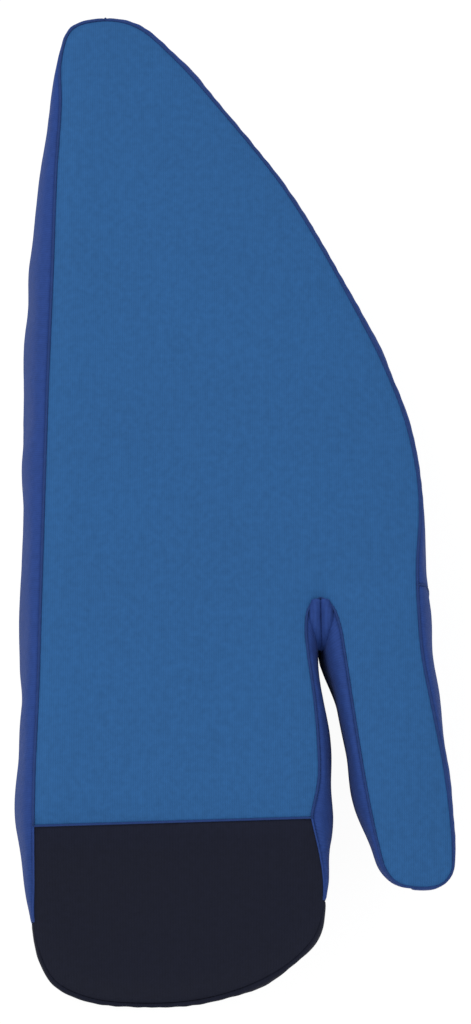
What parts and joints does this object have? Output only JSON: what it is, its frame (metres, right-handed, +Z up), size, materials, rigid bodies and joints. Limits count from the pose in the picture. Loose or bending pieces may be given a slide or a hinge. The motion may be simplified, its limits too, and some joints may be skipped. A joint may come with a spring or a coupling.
{
  "type": "goalie catch glove",
  "caption": "Padded left-hand mitt for catching a puck, with a fin-shaped forearm guard, a hinged thumb and two hook-and-loop straps across the back.",
  "frame": {"origin": "centre of the glove's footprint, on the surface that it lies on", "axes": "+Z up out of the catching face, +Y from the fingertips to the forearm tip, +X from the little finger to the thumb"},
  "size_m": [0.1766, 0.4029, 0.07],
  "materials": {
    "face_fabric": "matte woven nylon",
    "gusset": "matte knit",
    "navy_fabric": "matte woven nylon",
    "foam": "matte closed-cell foam",
    "stiffener": "matte polyethylene sheet",
    "lining": "matte knit",
    "webbing": "ribbed webbing",
    "loop_pile": "loop pile",
    "hook_tape": "hook tape"
  },
  "bodies": {
    "glove": {"face_panel": "face_fabric", "fingertip_panel": "navy_fabric", "little_finger_gusset": "gusset", "outer_gusset": "gusset", "crotch_gusset": "gusset", "back_panel": "navy_fabric", "palm_core": "foam", "fingertip_core": "foam", "little_finger_core": "foam", "crotch_core": "foam", "guard_core": "foam", "hand_back_core": "foam", "palm_plate": "stiffener", "fingertip_plate": "stiffener", "hand_liner": "lining", "finger_webs": "lining", "cuff_binding": "navy_fabric", "cradle_lining": "lining", "wrist_strap_anchor": "webbing", "wrist_loop_patch": "loop_pile", "forearm_strap_anchor": "webbing", "forearm_loop_patch": "loop_pile"},
    "thumb": {"thumb_face_panel": "face_fabric", "thumb_inner_gusset": "gusset", "thumb_outer_gusset": "gusset", "thumb_back_panel": "navy_fabric", "thumb_core": "foam", "thumb_plate": "stiffener", "thumb_side_core": "foam", "thumb_back_core": "foam", "thumb_liner": "lining"},
    "wrist_strap": {"wrist_strap": "webbing", "wrist_hook_patch": "hook_tape"},
    "forearm_strap": {"forearm_strap": "webbing", "forearm_hook_patch": "hook_tape"}
  },
  "joints": [
    {"name": "thumb_flex", "type": "hinge", "parent": "glove", "child": "thumb", "pos_m": [0.05577, -0.04407, 0.0589], "axis": [-0.9878, -0.1544, 0.0182], "range_deg": [0, 30]},
    {"name": "wrist_strap_open", "type": "hinge", "parent": "glove", "child": "wrist_strap", "pos_m": [-0.07088, 0.04175, 0.0003], "axis": [0, 1, 0], "range_deg": [0, 100]},
    {"name": "forearm_strap_open", "type": "hinge", "parent": "glove", "child": "forearm_strap", "pos_m": [-0.0663, 0.09475, 0.0003], "axis": [0, 1, 0], "range_deg": [0, 100]}
  ]
}
